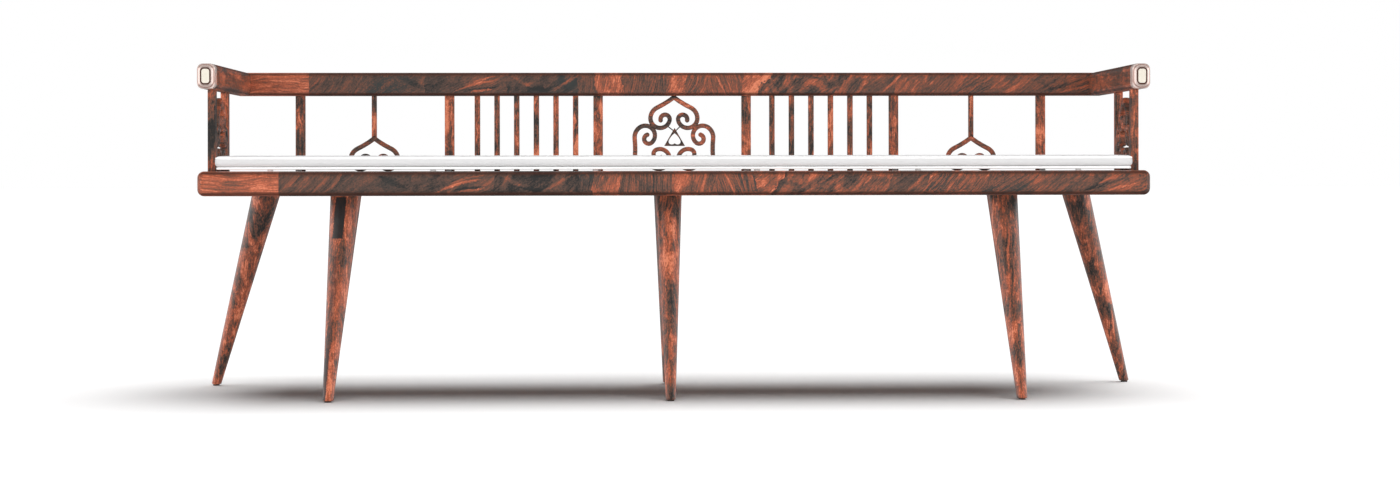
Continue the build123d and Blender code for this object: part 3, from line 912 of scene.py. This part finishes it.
# ---------------------------------------------------------------- finishes on the joiner's pieces
named_finishes = {
    "back_rail": back_board_wood,
    "deck_front_rail": deck_board_wood,
    "deck_rear_rail": deck_board_wood,
    "deck_left_end": end_wood,
    "deck_right_end": end_wood,
    "leg_front_left": marked_leg_wood,
    "left_front_post": dark_post_wood,
    "deck_panel": carcass_wood,
    "fret_dowels": dowel_wood,
    "rail_corner_splines": dowel_wood,
    "panel_screws": screw_steel,
    "triangle_pins": dark_steel,
    "mattress_pads": felt_cloth,
    "foot_glides": make_glide_material("dark glide plastic"),
}
for side_name, arm_wood in arm_woods.items():
    cap_name = f"{side_name}_arm_cap"
    named_finishes[f"{side_name}_arm"] = arm_wood
    named_finishes[cap_name] = make_cap_material(f"rose metal {side_name}", cap_name)


def finish_of(node_name):
    """The finish of a joiner's piece, or None where a shaped piece below stands for it."""
    if node_name in named_finishes:
        return named_finishes[node_name]
    if node_name.startswith("leg_"):
        return leg_wood
    if "spindle" in node_name or "_post" in node_name or node_name.endswith("_stem"):
        return upright_wood
    if node_name.endswith("_bearer"):
        return bearer_wood
    return None


for node_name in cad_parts:
    finish = finish_of(node_name)
    if finish:
        node_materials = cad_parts[node_name].data.materials
        node_materials.clear()
        node_materials.append(finish)


# ---------------------------------------------------------------- scrolled fretwork
def draw_half_lobe(draft):
    """Sweeps the right half of an ogee lobe from its point at the origin, in the XZ plane."""
    slope = radians(lobe_start_slope)
    heading = Vector((cos(slope), 0, -sin(slope)))
    mitre = strip_width * tan(slope)
    start = heading * -mitre
    across = Vector((-heading.z, 0, heading.x))
    corners = []
    for u, v in ((-1, -1), (1, -1), (1, 1), (-1, 1)):
        deep = Vector((0, v * strip_thickness / 2, 0))
        corners.append(draft.verts.new(start + across * u * strip_width / 2 + deep))
    ring = round_section(draft, draft.faces.new(corners))
    ring = push(draft, ring, heading * mitre)
    place = Vector((0, 0, 0))
    share = 1.0
    for (radius, turn), end_share in zip(lobe_arcs, lobe_taper):
        turn = radians(turn)
        inward = Vector((-heading.z, 0, heading.x)) * (1 if turn > 0 else -1)
        centre = place + inward * (radius * fret_unit)
        steps = max(3, round(abs(turn) / radians(degrees_per_step)))
        for step in range(steps):
            ring = swing(draft, ring, centre, (0, -1, 0), turn / steps)
            old_share = share + (end_share - share) * step / steps
            new_share = share + (end_share - share) * (step + 1) / steps
            spoke = Matrix.Rotation(turn * (step + 1) / steps, 3, (0, -1, 0)) @ (place - centre)
            middle = centre + spoke
            scale_in_plane(draft, ring, middle, new_share / old_share)
        place = middle
        share = end_share
        heading = Matrix.Rotation(turn, 3, (0, -1, 0)) @ heading
    round_off(draft, ring, place, heading, strip_width * share / 2)


def round_section(draft, section):
    """Rounds a strip's square section and returns its outline as geometry."""
    round_geometry(draft, list(section.verts), strip_edge, 3, affect="VERTICES")
    rim = [edge for edge in draft.edges if edge.is_boundary and edge.link_faces]
    face = rim[0].link_faces[0]
    outline = list(face.edges) + list(face.verts)
    bmesh.ops.delete(draft, geom=[face], context="FACES_ONLY")
    return outline


def scale_in_plane(draft, ring, middle, factor):
    """Narrows a strip's outline about its centre, its thickness kept."""
    verts = [item for item in ring if isinstance(item, bmesh.types.BMVert)]
    bmesh.ops.scale(
        draft, verts=verts, vec=(factor, 1, factor), space=Matrix.Translation(-middle)
    )


def round_off(draft, ring, place, heading, radius):
    """Closes a scroll's eye with a half round end."""
    steps = 4
    narrowest = 0.06
    for step in range(1, steps + 1):
        before = radians(90 * (step - 1) / steps)
        after = radians(90 * step / steps)
        advance = radius * (sin(after) - sin(before))
        ring = push(draft, ring, heading * advance)
        place = place + heading * advance
        factor = max(cos(after), narrowest) / max(cos(before), narrowest)
        scale_in_plane(draft, ring, place, factor)
    edges = [item for item in ring if isinstance(item, bmesh.types.BMEdge)]
    bmesh.ops.holes_fill(draft, edges=edges, sides=0)


def draw_lobe(point, turn, low=None, high=None):
    """A whole lobe as a draft mesh: turned, its point placed in X and Z, cut off at low and high."""
    draft = bmesh.new()
    draw_half_lobe(draft)
    cut(draft, (0, 0, 0), (1, 0, 0), clear=True)
    bmesh.ops.mirror(draft, geom=everything(draft), axis="X", merge_dist=2 * weld_gap)
    weld(draft, weld_gap)
    turn_draft(draft, -turn, "Y")
    bmesh.ops.translate(draft, verts=draft.verts, vec=(point[0], 0, point[1]))
    for height, up in ((low, 1), (high, -1)):
        if height is not None:
            cut(draft, (0, 0, height), (0, 0, up), clear=True)
    open_edges = [edge for edge in draft.edges if edge.is_boundary]
    bmesh.ops.holes_fill(draft, edges=open_edges, sides=0)
    return draft


def seat_height(turn):
    """How high a lobe's point is when the turned lobe stands in its seat on the deck."""
    draft = draw_lobe((0, 0), turn)
    lowest = min(vert.co.z for vert in draft.verts)
    draft.free()
    return -lowest - seat_depth


stem_lobe_point = seat_height(0)
side_lobe_point = seat_height(trefoil_side_turn)
top_lobe_point = clear_height - rail_seat_drop


def place_lobe(name, node_name, point, turn):
    """Makes one lobe of the back's fretwork and lets it stand for its node."""
    draft = draw_lobe((point[0], deck_top + point[1]), turn, deck_top, gallery_bottom)
    bmesh.ops.translate(draft, verts=draft.verts, vec=(0, back_line, 0))
    piece = make_piece(name, draft, fret_wood)
    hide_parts(node_name)


for side_name in ("left", "right"):
    low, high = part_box(f"{side_name}_lobe_stem")
    middle = (low[0] + high[0]) / 2
    place_lobe(f"{side_name}_scroll_lobe", f"{side_name}_lobe", (middle, stem_lobe_point), 0)
place_lobe("trefoil_top_scroll", "trefoil_top_lobe", (trefoil_middle, top_lobe_point), 0)
for side_name, side in (("left", -1), ("right", 1)):
    place_lobe(
        f"trefoil_{side_name}_scroll",
        f"trefoil_{side_name}_lobe",
        (trefoil_middle + side * trefoil_side_offset, side_lobe_point),
        -side * trefoil_side_turn,
    )


def fit_to(draft, low, high):
    """Scales a draft mesh to lie between two corners."""
    for axis in range(3):
        ends = [vert.co[axis] for vert in draft.verts]
        first, last = min(ends), max(ends)
        factor = (high[axis] - low[axis]) / (last - first)
        for vert in draft.verts:
            vert.co[axis] = low[axis] + (vert.co[axis] - first) * factor


def make_side_fret(side_name):
    """The narrow trefoil between two posts: three lobes turned to face sideways and squeezed."""
    low, high = (Vector(corner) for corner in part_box(f"{side_name}_side_fret"))
    whole = bmesh.new()
    for point, turn in (
        ((0, top_lobe_point), 0),
        ((-trefoil_side_offset, side_lobe_point), trefoil_side_turn),
        ((trefoil_side_offset, side_lobe_point), -trefoil_side_turn),
    ):
        lobe = draw_lobe(point, turn, low=0)
        scratch = bpy.data.meshes.new("lobe scratch")
        lobe.to_mesh(scratch)
        lobe.free()
        whole.from_mesh(scratch)
        bpy.data.meshes.remove(scratch)
    turn_draft(whole, 90, "Z")
    fit_to(whole, low, high)
    piece = make_piece(f"{side_name}_side_scrolls", whole, fret_wood)
    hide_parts(f"{side_name}_side_fret")


for side_name in ("left", "right"):
    make_side_fret(side_name)


def make_plate():
    """The small plate in its joiner's shape, its faces merged and its sharp edges rounded."""
    draft = bmesh.new()
    draft.from_mesh(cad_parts["trefoil_triangle"].data)
    bmesh.ops.remove_doubles(draft, verts=draft.verts, dist=weld_gap)
    bmesh.ops.dissolve_limit(
        draft, angle_limit=radians(1), verts=draft.verts, edges=draft.edges
    )
    sharp = [
        edge
        for edge in draft.edges
        if len(edge.link_faces) == 2 and edge.calc_face_angle(0) > radians(35)
    ]
    round_geometry(draft, sharp, plate_edge, 2)
    piece = make_piece("trefoil_plate", draft, plate_wood)
    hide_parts("trefoil_triangle")


make_plate()


# ---------------------------------------------------------------- mattress
def make_mattress():
    """A thin stuffed pad: a rounded slab in small cells, which its stuffing swells a little."""
    inset = Vector((pad_inset, pad_inset, 0.0))
    low, high = mattress_low + inset, mattress_high - inset
    low.z += pad_lift
    size = high - low
    draft = bmesh.new()
    bmesh.ops.create_cube(draft, size=1)
    bmesh.ops.scale(draft, verts=draft.verts, vec=size)
    bmesh.ops.translate(draft, verts=draft.verts, vec=(low + high) / 2)
    round_geometry(draft, list(draft.edges), pad_edge, 5)
    for axis, normal in ((0, (1, 0, 0)), (1, (0, 1, 0))):
        count = round(size[axis] / pad_cell)
        for step in range(1, count):
            place = list(low)
            place[axis] = low[axis] + size[axis] * step / count
            cut(draft, place, normal)
    bmesh.ops.recalc_face_normals(draft, faces=draft.faces)
    piece = make_piece("mattress_pad", draft, cover_cloth)
    swell(piece)
    return piece


def swell(piece):
    """Blows the pad up a little with cloth simulation and keeps the result."""
    mesh = piece.data
    rest = [vert.co.copy() for vert in mesh.vertices]
    cloth = piece.modifiers.new("swell", "CLOTH")
    cloth.settings.use_pressure = True
    cloth.settings.uniform_pressure_force = 4
    cloth.settings.effector_weights.gravity = 0
    cloth.settings.quality = 4
    cloth.point_cache.frame_start = 1
    cloth.point_cache.frame_end = swell_frames
    for step in range(1, swell_frames + 1):
        scene.frame_set(step)
    graph = bpy.context.evaluated_depsgraph_get()
    swollen = piece.evaluated_get(graph).data
    for vert, before, after in zip(mesh.vertices, rest, swollen.vertices):
        move = after.co - before
        if move.length > swell_cap:
            move = move.normalized() * swell_cap
        vert.co = before + move
    piece.modifiers.remove(cloth)
    scene.frame_set(1)


mattress_pad = make_mattress()
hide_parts("mattress")


def make_welt(name, height, radius, inset):
    """A corded welt that runs round the pad at one height, set in from its sides."""
    corner = Vector((welt_corner, welt_corner, 0))
    low, high = mattress_low + corner, mattress_high - corner
    draft = bmesh.new()
    bmesh.ops.create_circle(draft, cap_ends=False, radius=radius, segments=10)
    turn_draft(draft, 90, "Y")
    start = Vector((low.x, mattress_low.y + inset, height))
    bmesh.ops.translate(draft, verts=draft.verts, vec=start)
    ring = list(draft.edges) + list(draft.verts)
    heading = Vector((1, 0, 0))
    bends = ((high.x, low.y), (high.x, high.y), (low.x, high.y), (low.x, low.y))
    runs = (high.x - low.x, high.y - low.y) * 2
    for bend, run in zip(bends, runs):
        ring = push(draft, ring, heading * run)
        for _ in range(welt_corner_steps):
            ring = swing(
                draft, ring, (*bend, height), (0, 0, 1), radians(90 / welt_corner_steps)
            )
        heading = Matrix.Rotation(pi / 2, 3, "Z") @ heading
    weld(draft, 10 * weld_gap)
    make_piece(name, draft, welt_cloth)


make_welt("lower_welt", mattress_low.z + lower_welt_radius, lower_welt_radius, lower_welt_inset)
make_welt("upper_welt", mattress_high.z - upper_welt_inset, upper_welt_radius, upper_welt_inset)

# ---------------------------------------------------------------- floor, light and camera
scene.view_settings.view_transform = "Standard"
floor_light = 3.6
overhead_light = 2.2
front_light = 1.8
room_light = 0.12
# how bright the walls are in reflections, from straight in front, 0, to straight behind, 1
room_walls = (
    (0.00, 0.5),
    (0.012, 0.5),
    (0.03, 0.08),
    (0.13, 0.08),
    (0.19, 1.0),
    (0.40, 1.25),
    (0.80, 1.25),
    (0.87, 0.7),
    (0.95, 0.05),
)
camera_place = (-0.1019, -5.2489, 0.486)
camera_roll = 0.0815
camera_turn = -1.730


def make_floor():
    """A wide pale floor that no reflection shows."""
    material, tree, shader, place = new_material("pale floor")
    tone = soften(tree, noise(tree, place, 0.8, 2.0), 0.3, 0.7)
    sockets = {
        "Base Color": mix_colour(tree, tone, (0.93, 0.93, 0.93), (0.96, 0.96, 0.96)),
        "Roughness": 0.6,
        "Specular IOR Level": 0.1,
    }
    set_sockets(tree, shader, sockets)
    draft = bmesh.new()
    bmesh.ops.create_grid(draft, x_segments=1, y_segments=1, size=60)
    mesh = bpy.data.meshes.new("floor")
    draft.to_mesh(mesh)
    draft.free()
    mesh.materials.append(material)
    floor = bpy.data.objects.new("floor", mesh)
    scene.collection.objects.link(floor)
    floor.visible_glossy = False
    floor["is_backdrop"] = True
    return floor


def add_sun(name, strength, spread, azimuth, elevation, receivers):
    """A soft distant light that shines only on what is in the receivers' collection."""
    light = bpy.data.lights.new(name, "SUN")
    light.energy = strength
    light.angle = radians(spread)
    lamp = bpy.data.objects.new(name, light)
    lamp.rotation_euler = (radians(90 - elevation), 0, radians(azimuth))
    lamp.visible_glossy = False
    lamp.light_linking.receiver_collection = receivers
    scene.collection.objects.link(lamp)


def make_surroundings():
    """A white room: white to the eye, a bright band at eye level in reflections, a dim light."""
    world = bpy.data.worlds.new("white room")
    world.use_nodes = True
    tree = world.node_tree
    path = tree.nodes.new("ShaderNodeLightPath").outputs
    direction = tree.nodes.new("ShaderNodeTexCoord").outputs["Generated"]
    parts = split(tree, direction)
    height = compute(tree, "ABSOLUTE", parts[2])
    eye_level = soften(tree, height, 0.14, 0.50, 1.0, 0.08)
    depth = compute(tree, "MULTIPLY_ADD", parts[1], 0.5, 0.5)
    gloss = compute(tree, "MULTIPLY", eye_level, ramp(tree, depth, room_walls, "EASE"))
    gloss = compute(tree, "MULTIPLY", gloss, path["Is Glossy Ray"])
    seen = compute(tree, "MAXIMUM", gloss, path["Is Camera Ray"])
    strength = compute(tree, "MAXIMUM", seen, room_light)
    set_sockets(tree, tree.nodes["Background"], {"Color": (1, 1, 1, 1), "Strength": strength})
    scene.world = world


def gather(name, objects):
    """A collection that lights can be aimed at."""
    collection = bpy.data.collections.new(name)
    for item in objects:
        collection.objects.link(item)
    return collection


floor = make_floor()
make_surroundings()
bench = gather("bench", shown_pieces())
ground = gather("ground", [floor])
add_sun("floor light", floor_light, spread=58, azimuth=90, elevation=82, receivers=ground)
add_sun("overhead light", overhead_light, spread=70, azimuth=0, elevation=90, receivers=bench)
for side in (-1, 1):
    add_sun("front light", front_light, spread=32, azimuth=side * 50, elevation=10, receivers=bench)

camera_data = bpy.data.cameras.new("camera")
camera_data.sensor_width = 36
camera_data.lens = 61.406
camera_data.shift_y = -0.0502
camera_data.clip_end = 200
camera = bpy.data.objects.new("camera", camera_data)
camera.location = camera_place
camera.rotation_euler = (radians(90), radians(camera_roll), radians(camera_turn))
scene.collection.objects.link(camera)
scene.camera = camera
